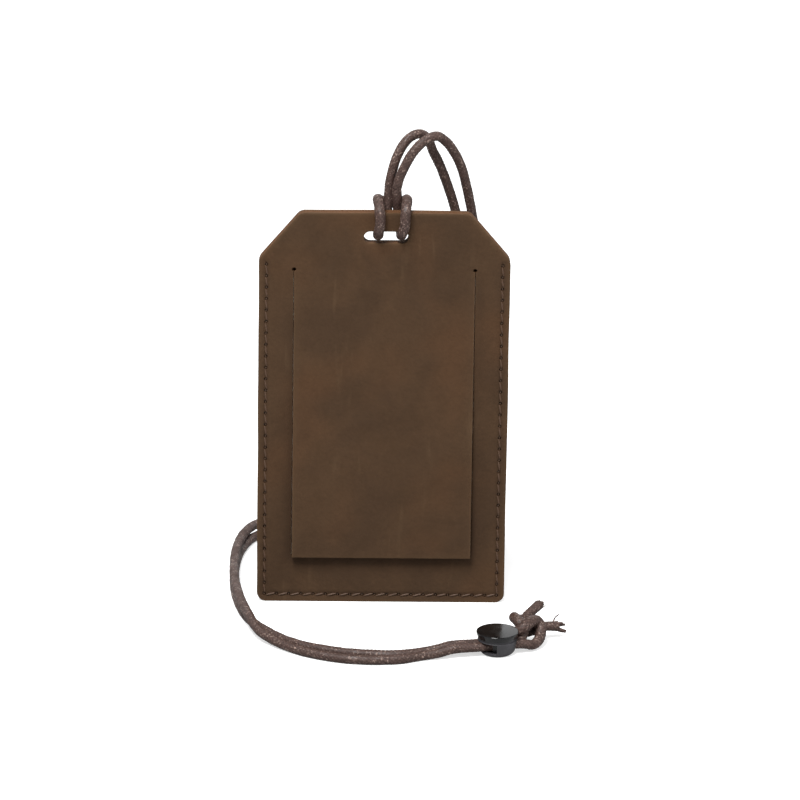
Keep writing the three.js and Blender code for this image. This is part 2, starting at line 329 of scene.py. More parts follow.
def fibreGroup():
    tree, ins, outs = newGroup("fibre", [("size", "Float", 0.5), ("stretch", "Vector", (1, 1, 1))],
                               [("height", "Float"), ("speckle", "Float")])
    place = objectPlace(tree)
    mapping = tree.nodes.new("ShaderNodeVectorMath")
    mapping.operation = "MULTIPLY"
    join(tree, place, mapping.inputs[0])
    join(tree, ins["stretch"], mapping.inputs[1])
    scale = maths(tree, "DIVIDE", 1000.0, ins["size"])
    fine = addNode(tree, "ShaderNodeTexNoise", Detail=5, Roughness=0.62)
    join(tree, mapping.outputs[0], fine.inputs["Vector"])
    join(tree, scale, fine.inputs["Scale"])
    coarse = addNode(tree, "ShaderNodeTexNoise", Detail=2, Roughness=0.5)
    join(tree, mapping.outputs[0], coarse.inputs["Vector"])
    join(tree, maths(tree, "MULTIPLY", scale, 0.37), coarse.inputs["Scale"])
    join(tree, maths(tree, "ADD", fine.outputs["Fac"], coarse.outputs["Fac"]), outs["height"])
    join(tree, ramp(tree, fine.outputs["Fac"], 0.52, 0.72), outs["speckle"])
    return tree


# pull-up leather: cloudy patches, faint rubs and pores, and a raw cut edge

leatherLook = {
    "dark": paintFrom(72, 54, 39), "main": paintFrom(79, 59, 42), "warm": paintFrom(88, 62, 42),
    "rub": paintFrom(95, 74, 54), "raw": paintFrom(140, 102, 74), "rawDark": paintFrom(100, 69, 46),
    # the darker colour of leather pressed by the seam, also used for painted shade beside the flap
    "pressAndShade": paintFrom(54, 39, 28),
    "grain": 1082.25, "pore": 1500.0,
}


def leatherGroup():
    tree, ins, outs = newGroup("leather", [("patchSize", "Float", 22.0), ("rubAmount", "Float", 0.5)],
                               [("colour", "Color"), ("height", "Float"), ("roughness", "Float")])
    place = objectPlace(tree)
    patchScale = maths(tree, "DIVIDE", 1000.0, ins["patchSize"])
    patch = addNode(tree, "ShaderNodeTexNoise", Detail=4, Roughness=0.55, Distortion=0.6)
    join(tree, place, patch.inputs["Vector"])
    join(tree, patchScale, patch.inputs["Scale"])
    cloud = noiseAt(tree, place, 130, 5, 0.65)
    warm = noiseAt(tree, place, 31, 2, 0.5)
    patches = ramp(tree, patch.outputs["Fac"], 0.36, 0.66)
    colour = mixColour(tree, patches, leatherLook["dark"], leatherLook["main"])
    colour = mixColour(tree, maths(tree, "MULTIPLY", ramp(tree, warm, 0.48, 0.68), 0.55), colour,
                       leatherLook["warm"])
    # rubs: long soft streaks, lighter where the wax has moved
    streak = tree.nodes.new("ShaderNodeMapping")
    streak.inputs["Rotation"].default_value = (0, rad(24), 0)
    streak.inputs["Scale"].default_value = (1, 1, 0.16)
    join(tree, place, streak.inputs["Vector"])
    rub = noiseAt(tree, streak.outputs["Vector"], 210, 3, 0.6)
    rubMask = maths(tree, "MULTIPLY", ramp(tree, rub, 0.6, 0.78), ins["rubAmount"])
    colour = mixColour(tree, rubMask, colour, leatherLook["rub"])
    fine = noiseAt(tree, place, 900, 4, 0.6)
    tone = ramp(tree, maths(tree, "ADD", cloud, maths(tree, "MULTIPLY", fine, 0.8)), 0.55, 1.25, 0.92, 1.08)
    shade = tree.nodes.new("ShaderNodeCombineColor")
    for socket in ("Red", "Green", "Blue"):
        join(tree, tone, shade.inputs[socket])
    colour = mixColour(tree, 1.0, colour, shade.outputs["Color"], "MULTIPLY")
    # grain: shallow cells with fine pores between them
    cells = addNode(tree, "ShaderNodeTexVoronoi", feature="SMOOTH_F1", Scale=leatherLook["grain"],
                    Smoothness=0.6)
    join(tree, place, cells.inputs["Vector"])
    pores = noiseAt(tree, place, leatherLook["pore"], 3, 0.6)
    height = maths(tree, "ADD", maths(tree, "MULTIPLY", cells.outputs["Distance"], 0.55),
                   maths(tree, "MULTIPLY", pores, 0.5))
    height = maths(tree, "ADD", height, maths(tree, "MULTIPLY", cloud, 0.9))
    join(tree, colour, outs["colour"])
    join(tree, height, outs["height"])
    join(tree, ramp(tree, cloud, 0.3, 0.7, 0.82, 0.68), outs["roughness"])
    return tree


def leatherMaterial(name, fibre, leather, patchSize=22.0, rubAmount=0.5):
    material, tree, shader = newMaterial(name, Specular_IOR_Level=0.12)
    skin = placeGroup(tree, leather, patchSize=patchSize, rubAmount=rubAmount)
    hair = placeGroup(tree, fibre, size=0.22, stretch=(1, 4, 1))
    rim = maskFrom(tree, "rim")
    worn = maskFrom(tree, "worn")
    pressedAndShaded = maskFrom(tree, "pressedAndShaded")
    raw = mixColour(tree, hair.outputs["speckle"], leatherLook["rawDark"], leatherLook["raw"])
    lighter = maths(tree, "MULTIPLY", worn, 0.62)
    colour = mixColour(tree, lighter, skin.outputs["colour"], leatherLook["rub"])
    # darker where the seam presses the leather, plus painted shade beside the flap, both carried by one mask
    colour = mixColour(tree, maths(tree, "MULTIPLY", pressedAndShaded, 0.75), colour, leatherLook["pressAndShade"])
    colour = mixColour(tree, rim, colour, raw)
    join(tree, colour, shader.inputs["Base Color"])
    height = mixColour(tree, rim, skin.outputs["height"], hair.outputs["height"])
    join(tree, skin.outputs["roughness"], shader.inputs["Roughness"])
    bumpInto(tree, shader, height, 0.00012, 0.8)
    return material


# waxed braided cord: the braid's crests are a mask made with the mesh, which paints shade in the grooves and
# light on the crests

# dark: painted shade in the braid's grooves and real stains; crest: painted light on the tops of the crests
cordLook = {"dark": paintFrom(50, 37, 32), "main": paintFrom(80, 61, 55), "crest": paintFrom(94, 74, 67),
            "wax": paintFrom(176, 152, 140)}


def cordMaterial(fibre):
    material, tree, shader = newMaterial("waxedCord", Specular_IOR_Level=0.35)
    crest = maskFrom(tree, "crest")
    hair = placeGroup(tree, fibre, size=0.62, stretch=(1, 1, 1))
    place = objectPlace(tree)
    patch = noiseAt(tree, place, 420, 3, 0.6)
    # painted shade between the braid's crests, then painted light on their tops
    colour = mixColour(tree, ramp(tree, crest, 0.05, 0.75), cordLook["dark"], cordLook["main"])
    top = maths(tree, "MULTIPLY", ramp(tree, crest, 0.55, 1.0), 0.4)
    colour = mixColour(tree, top, colour, cordLook["crest"])
    stain = ramp(tree, noiseAt(tree, place, 900, 3, 0.6), 0.42, 0.62)
    colour = mixColour(tree, maths(tree, "MULTIPLY", stain, 0.45), colour, cordLook["dark"])
    fleck = maths(tree, "MULTIPLY", hair.outputs["speckle"], ramp(tree, patch, 0.38, 0.56))
    colour = mixColour(tree, maths(tree, "MULTIPLY", fleck, 0.9), colour, cordLook["wax"])
    join(tree, colour, shader.inputs["Base Color"])
    join(tree, ramp(tree, patch, 0.35, 0.7, 0.62, 0.4), shader.inputs["Roughness"])
    bumpInto(tree, shader, hair.outputs["height"], 0.00006, 0.8)
    return material


def threadMaterial(fibre):
    material, tree, shader = newMaterial("seamThread", Roughness=0.55, Specular_IOR_Level=0.4)
    hair = placeGroup(tree, fibre, size=0.3, stretch=(1, 1, 1))
    colour = mixColour(tree, hair.outputs["speckle"], paintFrom(84, 62, 47), paintFrom(120, 92, 70))
    join(tree, colour, shader.inputs["Base Color"])
    bumpInto(tree, shader, hair.outputs["height"], 0.00005, 0.7)
    return material


def plasticMaterial(name, roughness, shade):
    material, tree, shader = newMaterial(name, Specular_IOR_Level=0.55)
    place = objectPlace(tree)
    smear = noiseAt(tree, place, 260, 4, 0.6)
    scuffs = noiseAt(tree, place, 2400, 2, 0.5)
    colour = mixColour(tree, ramp(tree, smear, 0.4, 0.7), shade[0], shade[1])
    join(tree, colour, shader.inputs["Base Color"])
    join(tree, ramp(tree, maths(tree, "ADD", smear, maths(tree, "MULTIPLY", scuffs, 0.3)), 0.45, 0.95,
                    roughness, roughness + 0.16), shader.inputs["Roughness"])
    bumpInto(tree, shader, scuffs, 0.000008, 0.5)
    return material


def steelMaterial():
    material, tree, shader = newMaterial("springSteel", Metallic=1.0)
    place = objectPlace(tree)
    drawn = noiseAt(tree, place, 1800, 3, 0.6)
    join(tree, mixColour(tree, drawn, paintFrom(150, 150, 148), paintFrom(205, 205, 202)),
         shader.inputs["Base Color"])
    join(tree, ramp(tree, drawn, 0.3, 0.7, 0.22, 0.42), shader.inputs["Roughness"])
    return material


# lines across the card, in metres; their weight is a share of the gap
ruledLines = {"first": 0.028, "gap": 0.012, "weight": 0.035, "reach": 0.021, "low": 0.027, "high": 0.089}


def cardMaterial(fibre):
    material, tree, shader = newMaterial("cardStock", Roughness=0.85, Specular_IOR_Level=0.3)
    hair = placeGroup(tree, fibre, size=0.4, stretch=(1, 1, 1))
    place = objectPlace(tree)
    parts = tree.nodes.new("ShaderNodeSeparateXYZ")
    join(tree, place, parts.inputs[0])
    # ruled lines over the middle of the card
    height = maths(tree, "SUBTRACT", parts.outputs["Z"], ruledLines["first"])
    line = maths(tree, "LESS_THAN", maths(tree, "FRACT", maths(tree, "DIVIDE", height, ruledLines["gap"])),
                 ruledLines["weight"])
    inside = maths(tree, "LESS_THAN", maths(tree, "ABSOLUTE", parts.outputs["X"]), ruledLines["reach"])
    low = maths(tree, "GREATER_THAN", parts.outputs["Z"], ruledLines["low"])
    high = maths(tree, "LESS_THAN", parts.outputs["Z"], ruledLines["high"])
    between = maths(tree, "MULTIPLY", low, high)
    ruled = maths(tree, "MULTIPLY", maths(tree, "MULTIPLY", line, inside), between)
    colour = mixColour(tree, hair.outputs["speckle"], paintFrom(236, 231, 219), paintFrom(222, 215, 200))
    colour = mixColour(tree, ruled, colour, paintFrom(120, 118, 116))
    join(tree, colour, shader.inputs["Base Color"])
    bumpInto(tree, shader, hair.outputs["height"], 0.00003, 0.6)
    return material


# the cord

cord = {"radius": 1.38 * mm, "sides": 40, "ringGap": 0.24 * mm, "carriers": 8, "pitch": 1.15 * mm,
        "relief": 0.11 * mm, "side": 1.4 * mm, "jitter": 0.09 * mm}
shiftY = midY  # routes are drawn about the middle of the leather


def inLock(distance, side, height):
    normal = Vector((-lockAxis.y, lockAxis.x, 0))
    place = Vector((lockX, lockY, 0)) + lockAxis * distance * mm + normal * side * cord["side"]
    return place.x / mm, (place.y - shiftY) / mm, height


innerStrand = [
    (1.1, 4.2, 126.6), (1.6, 4.2, 129.8), (2.9, 4.6, 134.5), (4.7, 5.7, 138.1), (7.0, 6.9, 140.5),
    (9.6, 8.2, 141.2), (12.0, 9.8, 139.4), (13.8, 11.1, 135.0), (15.6, 11.9, 131.2), (18.1, 13.0, 124.6),
    (20.6, 14.0, 116.5), (22.7, 15.8, 106), (24.6, 18.4, 92.5), (25.8, 21.2, 77), (26.2, 24.6, 61),
    (25.8, 28.8, 45), (24.6, 34, 29.5), (22.0, 41, 15.2), (17.8, 48.4, 5.8), (12.2, 54.4, 2),
    (4.5, 59.2, 1.3), (-6, 61.8, 1.3), (-18, 61, 1.3), (-29, 56.6, 1.3), (-37.2, 49.8, 1.3),
    (-41.2, 39, 1.3), (-43, 25, 1.3), (-43.2, 10, 1.3), (-42, -5, 1.3), (-38.8, -19.5, 1.3),
    (-33, -30.7, 1.3), (-24.6, -40.2, 1.3), (-13.6, -45.8, 1.3), (-4, -48, 1.3), (4.8, -48.2, 1.3),
    inLock(-22.5, 1, 1.35), inLock(-18, 1, 1.8), inLock(-13.5, 1, 2.7), inLock(-7, 1, 2.7),
    inLock(4, 1, 2.7), inLock(6.8, 1, 2.7),
]
outerStrand = [
    (3.2, 2.2, 126.6), (4.0, 2.0, 129.6), (6.0, 2.1, 134.2), (8.2, 2.8, 137.6), (11.2, 4.1, 140.3),
    (14.7, 5.6, 141.3), (17.7, 7.4, 138.8), (20.0, 8.8, 135.3), (22.3, 10.6, 129.8), (24.0, 12.0, 123.1),
    (25.4, 13.4, 116), (27.2, 15.8, 105.4), (28.9, 18.8, 92), (30.1, 22.2, 76.5), (30.6, 26.2, 60.5),
    (30.3, 31, 44.5), (29.0, 36.8, 29), (26.2, 44.2, 15), (21.6, 52.2, 5.8), (15.2, 59, 2),
    (6.4, 64, 1.3), (-5, 67, 1.3), (-17.5, 66.6, 1.3), (-28.6, 62.8, 1.6), (-35.4, 57.6, 2.95),
    (-40.1, 46.4, 4.15), (-42.6, 33, 4.1), (-43.3, 18, 4.1), (-42.9, 3, 4.1), (-41.2, -11, 4.1),
    (-38.8, -23.7, 4.1), (-35.1, -34.1, 2.6), (-26.6, -43.2, 1.4), (-15.6, -50, 1.3), (-4.6, -52.6, 1.3),
    (4.8, -51.8, 1.3), inLock(-22.5, -1, 1.35), inLock(-18, -1, 1.8), inLock(-13.5, -1, 2.7),
    inLock(-7, -1, 2.7), inLock(6.8, -1, 2.7), (42.9, -41.5, 2.1),
]
hitchRoute = [
    (1.1, 4.2, 126.5), (0.9, 3.9, 122.5), (0.3, 3.5, 118.6), (-0.9, 3.5, 115.8), (-1.7, 2.8, 113.9),
    (-2.0, 1.2, 113.2), (-2.0, -1.2, 113.3), (-1.9, -2.8, 114.6), (-1.6, -3.35, 116.4), (-1.5, -3.3, 119),
    (-1.7, -2.8, 121.0), (-1.8, -1.4, 122.2), (-2.0, 0.4, 122.5), (-2.1, 2.8, 122.9), (-2.0, 5.2, 122.1),
    (-0.2, 7.0, 121), (2.2, 7.2, 120.7), (4.4, 6.7, 121), (5.9, 5.0, 122), (6.2, 2.6, 122.9),
    (6.2, 0.4, 122.5), (6.0, -1.4, 122.2), (5.9, -2.8, 121.0), (5.7, -3.35, 119), (5.6, -3.4, 116.4),
    (5.0, -2.8, 114.6), (4.7, -1.2, 113.3), (4.7, 1.2, 113.2), (4.5, 2.8, 113.9), (4.2, 3.5, 115.8),
    (3.7, 3.4, 118.6), (3.4, 2.7, 122.5), (3.2, 2.2, 126.5),
]


# the knot: the outer strand rings round the inner one, which turns back on itself behind
knotRing = [
    (42.5, -41.6, 2.1), (43.9, -40.4, 1.75), (45.4, -38.2, 2.3), (46.1, -35.8, 3.7), (45.9, -34.0, 5.4),
    (44.7, -34.0, 6.7), (43.0, -36.4, 7.1), (41.3, -38.7, 6.6), (39.7, -38.9, 5.3), (38.7, -37.2, 4.3),
    (38.9, -34.9, 3.2), (41.0, -33.2, 2.7), (43.8, -32.4, 3.0), (46.1, -31.8, 3.8),
]
knotTurn = [
    (39.3, -39.7, 2.7), (40.4, -38.9, 3.3), (41.0, -37.5, 4.5), (40.6, -36.3, 5.7), (39.7, -35.2, 6.7),
    (38.8, -33.3, 7.1), (38.6, -31.0, 6.5), (39.7, -29.6, 5.4), (41.8, -29.6, 5.5),
]
tailA = [(41.2, -30.2, 5.3), (42.4, -28.2, 6.1), (43.5, -27, 6.7), (46, -24.2, 8)]
tailB = [(45.4, -32.0, 3.7), (47.4, -31.3, 3.9), (48.8, -30.8, 3.8), (51.2, -29.8, 3.5)]


def smoothRoute(route, gap):
    # a centripetal Catmull-Rom line through the points, cut into even steps
    knots = np.array([(x, y + shiftY / mm, z) for x, y, z in route]) * mm
    ends = [2 * knots[0] - knots[1], *knots, 2 * knots[-1] - knots[-2]]
    line = []
    for i in range(1, len(ends) - 2):
        p0, p1, p2, p3 = ends[i - 1:i + 3]
        t0 = 0.0
        t1 = t0 + np.linalg.norm(p1 - p0) ** 0.5
        t2 = t1 + np.linalg.norm(p2 - p1) ** 0.5
        t3 = t2 + np.linalg.norm(p3 - p2) ** 0.5
        t = np.linspace(t1, t2, 24, endpoint=False)[:, None]
        a1 = (t1 - t) / (t1 - t0) * p0 + (t - t0) / (t1 - t0) * p1
        a2 = (t2 - t) / (t2 - t1) * p1 + (t - t1) / (t2 - t1) * p2
        a3 = (t3 - t) / (t3 - t2) * p2 + (t - t2) / (t3 - t2) * p3
        b1 = (t2 - t) / (t2 - t0) * a1 + (t - t0) / (t2 - t0) * a2
        b2 = (t3 - t) / (t3 - t1) * a2 + (t - t1) / (t3 - t1) * a3
        line.append((t2 - t) / (t2 - t1) * b1 + (t - t1) / (t2 - t1) * b2)
    line = np.vstack([*line, knots[-1:]])
    along = np.concatenate([[0], np.cumsum(np.linalg.norm(np.diff(line, axis=0), axis=1))])
    even = np.linspace(0, along[-1], max(4, round(along[-1] / gap)) + 1)
    return np.column_stack([np.interp(even, along, line[:, k]) for k in range(3)])


def sideFrames(path):  # directions across the path that don't twist
    ahead = np.gradient(path, axis=0)
    ahead /= np.linalg.norm(ahead, axis=1)[:, None]
    across = np.cross(ahead[0], (0.31, 0.2, 0.93))
    firsts = []
    for way in ahead:
        across = across - way * np.dot(across, way)
        across = across / np.linalg.norm(across)
        firsts.append(across)
    firsts = np.array(firsts)
    return firsts, np.cross(ahead, firsts)


def braidHeight(turn, along):
    # two sets of carriers, each over and then under the other; 1 on a crest and 0 between
    a = turn * cord["carriers"] + along / cord["pitch"]
    b = turn * cord["carriers"] - along / cord["pitch"]
    first = (np.floor(a) + np.floor(b)) % 2 < 1
    across = np.where(first, a, b) % 1
    lengthways = np.where(first, b, a) % 1
    return np.sqrt(np.sin(np.pi * across).clip(0)) * (0.45 + 0.55 * np.sin(np.pi * lengthways))


def cordTube(name, path, material, seed, radius=None, flare=None):
    radius = radius or cord["radius"]
    sides = cord["sides"]
    firsts, seconds = sideFrames(path)
    along = np.concatenate([[0], np.cumsum(np.linalg.norm(np.diff(path, axis=0), axis=1))])
    turn = np.arange(sides) / sides
    height = braidHeight(turn[None, :], along[:, None])
    reach = radius + cord["relief"] * (height - 0.55)
    lumps = [[noise.noise(Vector((a * 420, math.cos(t * 6.283) * 1.6 + seed, math.sin(t * 6.283) * 1.6)))
              for t in turn] for a in along]
    reach = reach + cord["jitter"] * np.array(lumps)
    if flare is not None:
        reach = reach * flare[:, None]
    angle = turn * 2 * np.pi
    ring = firsts[:, None] * np.cos(angle)[None, :, None] + seconds[:, None] * np.sin(angle)[None, :, None]
    places = (path[:, None] + ring * reach[:, :, None]).reshape(-1, 3)
    places[:, 2] = places[:, 2].clip(0)  # it lies flat on the floor, not in it
    places = np.vstack([places, path[0], path[-1]])
    rings = len(path)
    i, j = np.meshgrid(np.arange(rings - 1), np.arange(sides), indexing="ij")
    k = (j + 1) % sides
    corners = [i * sides + j, i * sides + k, (i + 1) * sides + k, (i + 1) * sides + j]
    quads = np.stack(corners, -1).reshape(-1, 4)
    start, end = rings * sides, rings * sides + 1
    last = (rings - 1) * sides
    caps = [(start, (n + 1) % sides, n) for n in range(sides)]
    caps += [(end, last + n, last + (n + 1) % sides) for n in range(sides)]
    mesh = bpy.data.meshes.new(name)
    mesh.from_pydata(places.tolist(), [], quads.tolist() + caps)
    mesh.materials.append(material)
    piece = bpy.data.objects.new(name, mesh)
    bpy.context.scene.collection.objects.link(piece)
    setMask(piece, "crest", np.concatenate([height.ravel(), [0.3, 0.3]]))
    smoothEdges(piece, 60)
    return piece


# the leather: two panels with a pocket between them, and a flap cut from the front one

leather = {
    "width": 73 * mm, "height": 120 * mm, "chamferWidth": 12 * mm, "chamferHeight": 14.2 * mm,
    "chamferRound": 1.3 * mm, "footRound": 2.8 * mm, "thickness": 1.7 * mm, "gap": 0.1 * mm,
    "pocketDepth": 0.25 * mm, "pocketHalfWidth": 32.6 * mm, "pocketFloor": 4 * mm, "pocketTop": 109 * mm,
    "slotHalf": 6.5 * mm, "slotHalfHeight": 1.8 * mm, "slotX": 0.3 * mm, "slotZ": 112.7 * mm,
    "edgeRound": 0.28 * mm, "wearReach": 0.4 * mm, "slotWearReach": 0.45 * mm,
    "dent": 0.24 * mm, "dentReach": 0.85 * mm, "wave": 0.16 * mm,
}
flap = {
    "halfWidth": 26.3 * mm, "length": 88.4 * mm, "lift": 2.0 * mm, "kerf": 0.14 * mm, "tongue": 1.6 * mm,
    "stopRadius": 0.6 * mm, "bendAbove": 1.2 * mm, "bendBelow": 2.6 * mm, "edgeRound": 0.16 * mm,
    "shadeTop": 0.3, "shadeFoot": 0.6, "shadeReach": 3.0 * mm, "ease": 0.06, "easeRate": 16,
}
seam = {"inset": 2.2 * mm, "top": 104.3 * mm, "sideStitches": 29, "footStitches": 19, "hole": 0.5 * mm,
        "thread": 0.5 * mm, "slant": 10, "footSlant": 15, "proud": 0.35, "barHalf": 0.4,
        "barWidth": 0.42, "plug": 0.44, "plugShort": 0.5 * mm}


def needleHoles():
    half = leather["width"] / 2 - seam["inset"]
    low = seam["inset"]
    sidePitch = (seam["top"] - low) / seam["sideStitches"]
    footPitch = 2 * half / seam["footStitches"]
    left = [(-half, seam["top"] - sidePitch * i) for i in range(seam["sideStitches"])]
    foot = [(-half + footPitch * i, low) for i in range(seam["footStitches"] + 1)]
    right = [(half, low + sidePitch * (i + 1)) for i in range(seam["sideStitches"])]
    return left + foot + right


holes = needleHoles()


def roundedLoop(bm, corners, radii, segments=5):
    # a closed wire through the corners (x, z), each corner rounded by its own radius
    verts = [bm.verts.new((x, 0, z)) for x, z in corners]
    edges = [bm.edges.new((verts[i - 1], verts[i])) for i in range(len(verts))]
    loop = set(edges)
    for vert, radius in zip(verts, radii):
        if radius > 0:
            made = bmesh.ops.bevel(bm, geom=[vert], offset=radius, affect="VERTICES", segments=segments,
                                   profile=0.5, material=-1)
            loop.update(made["edges"])
    return [edge for edge in loop if edge.is_valid]


def roundHole(bm, x, z, radius, sides=8):
    made = bmesh.ops.create_circle(bm, segments=sides, radius=radius)
    bmesh.ops.rotate(bm, verts=made["verts"], matrix=Matrix.Rotation(rad(90), 3, "X"))
    bmesh.ops.translate(bm, verts=made["verts"], vec=(x, 0, z))


def tagLoop(bm):
    half, tall = leather["width"] / 2, leather["height"]
    shoulder = tall - leather["chamferHeight"]
    top = half - leather["chamferWidth"]
    corners = [(-half, 0), (half, 0), (half, shoulder), (top, tall), (-top, tall), (-half, shoulder)]
    foot, chamfer = leather["footRound"], leather["chamferRound"]
    roundedLoop(bm, corners, (foot, foot, chamfer, chamfer, chamfer, chamfer), 6)


def slotLoop(bm):
    reach, tall, z = leather["slotHalf"], leather["slotHalfHeight"], leather["slotZ"]
    x = leather["slotX"]
    corners = [(x - reach, z - tall), (x + reach, z - tall), (x + reach, z + tall), (x - reach, z + tall)]
    roundedLoop(bm, corners, (tall * 0.995,) * 4, 8)


def arcPoints(x, z, radius, start, end, steps=7):
    return [(x + radius * math.cos(rad(start + (end - start) * i / steps)),
             z + radius * math.sin(rad(start + (end - start) * i / steps))) for i in range(steps + 1)]


def windowOutline():
    # the window: kerf on three sides, half a stop hole at the top of each slit, the tongue above
    half, stop, top = flap["halfWidth"], flap["stopRadius"], hingeZ + flap["tongue"]
    side = half + flap["kerf"]
    foot = hingeZ - flap["length"] - flap["kerf"]
    turn = math.degrees(math.acos(flap["kerf"] / stop))
    right = [(side, foot)] + arcPoints(half, hingeZ, stop, -turn, 90) + [(half, top)]
    left = [(-x, z) for x, z in reversed(right)]
    return right + left


def flapOutline():
    half, stop, top = flap["halfWidth"], flap["stopRadius"], hingeZ + flap["tongue"]
    foot = hingeZ - flap["length"]
    right = [(half, foot)] + arcPoints(half, hingeZ, stop, 270, 90) + [(half, top)]
    left = [(-x, z) for x, z in reversed(right)]
    return right + left


def wireLoop(bm, corners):
    verts = [bm.verts.new((x, 0, z)) for x, z in corners]
    for i in range(len(verts)):
        bm.edges.new((verts[i - 1], verts[i]))


def windowLoop(bm):
    wireLoop(bm, windowOutline())


def flapLoop(bm):
    wireLoop(bm, flapOutline())


def holeLoops(bm):
    for x, z in holes:
        roundHole(bm, x, z, seam["hole"])


def cutGrid(bm, columns, rows):
    for axis, values in ((0, columns), (2, rows)):
        normal = Vector((1, 0, 0)) if axis == 0 else Vector((0, 0, 1))
        for value in values:
            bmesh.ops.bisect_plane(bm, geom=bm.verts[:] + bm.edges[:] + bm.faces[:], dist=1e-7,
                                   plane_co=normal * value, plane_no=normal)


def sheetOf(loops, outer, inner, rounding, columns, rows, plainEdge=None):
    # fills the wire loops, thickens them from the outer face to the inner one and rounds the outer edges
    bm = bmesh.new()
    for loop in loops:
        loop(bm)
    bmesh.ops.triangle_fill(bm, edges=bm.edges[:], use_beauty=True)
    outward = -1 if outer < inner else 1
    bmesh.ops.recalc_face_normals(bm, faces=bm.faces[:])
    if sum(face.normal.y for face in bm.faces) * outward < 0:
        bmesh.ops.reverse_faces(bm, faces=bm.faces[:])
    bmesh.ops.translate(bm, verts=bm.verts, vec=(0, outer, 0))
    front = bm.faces[:]
    made = bmesh.ops.extrude_face_region(bm, geom=front, use_keep_orig=True)
    bmesh.ops.translate(bm, verts=[v for v in made["geom"] if isinstance(v, bmesh.types.BMVert)],
                        vec=(0, inner - outer, 0))
    bmesh.ops.recalc_face_normals(bm, faces=bm.faces[:])
    rim = [edge for edge in bm.edges if len(edge.link_faces) == 2 and edge.calc_face_angle() > 1.2
           and all(abs(v.co.y - outer) < 1e-6 for v in edge.verts) and not (plainEdge and plainEdge(edge))]
    bmesh.ops.bevel(bm, geom=rim, offset=rounding, affect="EDGES", segments=3, profile=0.5, material=-1,
                    clamp_overlap=True)
    bmesh.ops.triangulate(bm, faces=bm.faces[:])
    cutGrid(bm, columns, rows)
    bmesh.ops.remove_doubles(bm, verts=bm.verts[:], dist=2e-6)
    return bm


def steps(low, high, gap):
    count = max(1, round((high - low) / gap))
    return [low + (high - low) * i / count for i in range(count + 1)]


def panelColumns():
    half, pocket = leather["width"] / 2, leather["pocketHalfWidth"]
    fine = steps(pocket + 0.15 * mm, half - 0.3 * mm, 0.45 * mm)
    middle = steps(-25 * mm, 25 * mm, 3.1 * mm)
    beside = [27 * mm, 27.7 * mm, 28.6 * mm, 30 * mm]
    return sorted(middle + fine + beside + [-x for x in fine + beside] + [pocket, -pocket])


def panelRows():
    fine = steps(0.3 * mm, leather["pocketFloor"] - 0.15 * mm, 0.45 * mm)
    high = steps(leather["pocketFloor"] + 0.4 * mm, 108.2 * mm, 1.17 * mm)
    top = [leather["pocketTop"], leather["pocketTop"] + 0.15 * mm] + steps(110.3 * mm, 119.2 * mm, 1.3 * mm)
    return fine + [leather["pocketFloor"]] + high + top


def edgeDistance(x, z):
    half, tall = leather["width"] / 2, leather["height"]
    slope = math.hypot(leather["chamferWidth"], leather["chamferHeight"])
    corner = (leather["chamferHeight"] * (half - np.abs(x))
              + leather["chamferWidth"] * (tall - leather["chamferHeight"] - z)) / slope
    return np.minimum.reduce([half - np.abs(x), z, tall - z, corner])


def fieldNoise(x, z, scale, seed):
    return np.array([noise.noise(Vector((a * scale, seed, b * scale))) for a, b in zip(x, z)])


def seamDent(x, z):
    # how far the stitches pull the leather in: a groove along the seam, deeper beside each hole
    half = leather["width"] / 2 - seam["inset"]
    side = np.where(z < seam["top"] + 0.8 * mm, np.abs(np.abs(x) - half), 1.0)
    side = np.where(z < seam["inset"] - 0.4 * mm, 1.0, side)
    foot = np.where(np.abs(x) < half + 0.4 * mm, np.abs(z - seam["inset"]), 1.0)
    near = np.exp(-(np.minimum(side, foot) / leather["dentReach"]) ** 2)
    places = np.array(holes)
    squares = (x[:, None] - places[None, :, 0]) ** 2 + (z[:, None] - places[None, :, 1]) ** 2
    gaps = np.sqrt(squares.min(axis=1))
    return leather["dent"] * (0.62 * near + 0.38 * np.exp(-(gaps / (0.8 * mm)) ** 2))


def finishLeather(piece, outer, inner, seed, worn, paintedShade=None):
    # masks for the rim and the wear, the pocket, the seam's dents, painted shade where it is given, and a
    # slight unevenness
    places = points(piece)
    x, y, z = places[:, 0].copy(), places[:, 1].copy(), places[:, 2].copy()
    outward = -1 if outer < inner else 1
    depth = (outer - y) * outward
    setMask(piece, "rim", np.clip((depth - 0.08 * mm) / (0.3 * mm), 0, 1))
    setMask(piece, "worn", worn(x, z) * (depth < 0.6 * mm))
    inside = depth > leather["thickness"] - leather["pocketDepth"] - 1e-6
    outside = np.maximum.reduce([(np.abs(x) - leather["pocketHalfWidth"]) / (0.15 * mm),
                                 (leather["pocketFloor"] - z) / (0.15 * mm),
                                 (z - leather["pocketTop"]) / (0.15 * mm)]).clip(0, 1)
    y = np.where(inside, y - outward * outside * leather["pocketDepth"], y)
    pressedAndShaded = 0.55 * seamDent(x, z) / leather["dent"]
    # the seam's pressing is the leather's own darkening; the painted shade beside the flap is added to the
    # same mask
    if paintedShade:
        pressedAndShaded = np.maximum(pressedAndShaded, paintedShade(x, z))
    setMask(piece, "pressedAndShaded", pressedAndShaded * (depth < 0.3 * mm))
    y = y - outward * seamDent(x, z) * np.clip(1 - depth / (1.0 * mm), 0, 1)
    wobble = leather["wave"]
    near = np.exp(-np.maximum(edgeDistance(x, z), 0) / (4 * mm))
    places[:, 0] = x + wobble * near * fieldNoise(x, z, 60, seed) * np.sign(-x) * np.sign(np.abs(x) - 1 * mm)
    places[:, 2] = np.maximum(z + wobble * near * fieldNoise(x, z, 60, seed + 9) * (z > 1 * mm), 0)
    places[:, 1] = y
    movePoints(piece, places)


